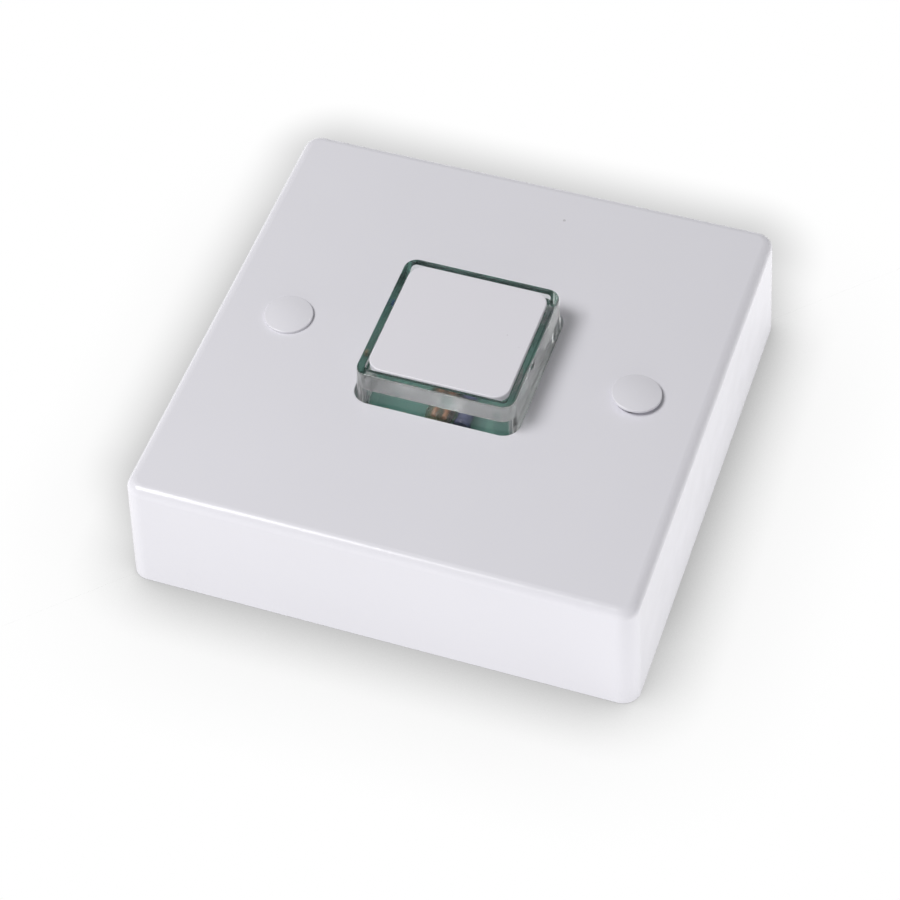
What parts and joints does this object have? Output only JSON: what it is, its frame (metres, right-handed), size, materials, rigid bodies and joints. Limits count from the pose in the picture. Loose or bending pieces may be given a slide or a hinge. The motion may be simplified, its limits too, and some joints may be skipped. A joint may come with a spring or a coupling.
{
  "type": "push-button time delay switch",
  "caption": "Square surface-mounting time delay switch: deep white cover, raised clear push button with a white plate, domed screw caps, and a wall plate with cable entry behind.",
  "frame": {"origin": "middle of the back, on the wall plane", "axes": "+Z out of the wall, through the button; X through the two fixing screws; the terminals lie towards -Y"},
  "size_m": [0.0868, 0.0868, 0.0285],
  "materials": {
    "white_moulding": "glossy moulded urea, very slightly blue white",
    "back_plate_moulding": "fine matt moulding",
    "clear_button": "clear polished acrylic",
    "insert_white": "glossy white plate",
    "spring_steel": "drawn wire",
    "black_moulding": "matt black moulding",
    "plunger_moulding": "natural nylon",
    "green_board": "solder mask over glass laminate",
    "lamp_glass": "clear lamp glass",
    "lamp_metal": "dull nickel wire",
    "resistor_blue": "dark blue lacquer",
    "terminal_moulding": "green polyamide",
    "brass": "turned brass",
    "plated_steel": "zinc plated",
    "aluminium": "sheared plate",
    "black_epoxy": "moulded epoxy",
    "ferrite": "sintered ferrite",
    "copper_wire": "enamelled copper",
    "capacitor_box": "yellow box",
    "capacitor_sleeve": "shrunk sleeve",
    "resistor_ceramic": "flameproof coat",
    "resistor_tan": "tan lacquer",
    "varistor_coat": "dipped epoxy",
    "fuse_moulding": "brown moulding",
    "trimmer_blue": "moulded case"
  },
  "bodies": {
    "housing": {"front_cover": "white_moulding", "back_plate": "back_plate_moulding", "return_springs": "spring_steel", "push_switch_body": "black_moulding", "push_switch_spring": "spring_steel", "circuit_board": "green_board", "neon_glass": "lamp_glass", "neon_electrodes": "lamp_metal", "neon_resistor": "resistor_blue", "terminal_block": "terminal_moulding", "terminal_clamps": "brass", "terminal_screws": "plated_steel", "heatsink": "aluminium", "triac": "black_epoxy", "heatsink_screw": "plated_steel", "choke_core": "ferrite", "choke_winding": "copper_wire", "suppression_capacitor": "capacitor_box", "reservoir_capacitor": "capacitor_sleeve", "dropper_resistor": "resistor_ceramic", "control_resistors": "resistor_tan", "rectifier_diodes": "black_epoxy", "varistor": "varistor_coat", "fuse": "fuse_moulding", "timer_chip": "black_epoxy", "trimmer_body": "trimmer_blue", "board_screws": "plated_steel", "threaded_inserts": "brass", "cover_screws": "plated_steel", "screw_cap_left": "white_moulding", "screw_cap_right": "white_moulding"},
    "button": {"button_cap": "clear_button", "button_insert": "insert_white"},
    "plunger": {"push_switch_plunger": "plunger_moulding"},
    "time_setting": {"trimmer_rotor": "plunger_moulding"}
  },
  "joints": [
    {"name": "button_press", "type": "slide", "parent": "housing", "child": "button", "axis": [0, 0, -1], "range_m": [0, 0.0015], "stiffness_N_per_m": 800, "springref_m": -0.002, "deforming": ["return_springs"]},
    {"name": "plunger_press", "type": "slide", "parent": "housing", "child": "plunger", "axis": [0, 0, -1], "range_m": [0, 0.0015], "stiffness_N_per_m": 100, "springref_m": -0.001, "deforming": ["push_switch_spring"]},
    {"name": "time_set", "type": "hinge", "parent": "housing", "child": "time_setting", "pos_m": [-0.0106, 0.0074, 0.0092], "axis": [0, 0, -1], "range_deg": [-135, 135]}
  ],
  "couplings": [
    {"joint": "plunger_press", "follows": "button_press", "ratio": 1}
  ]
}
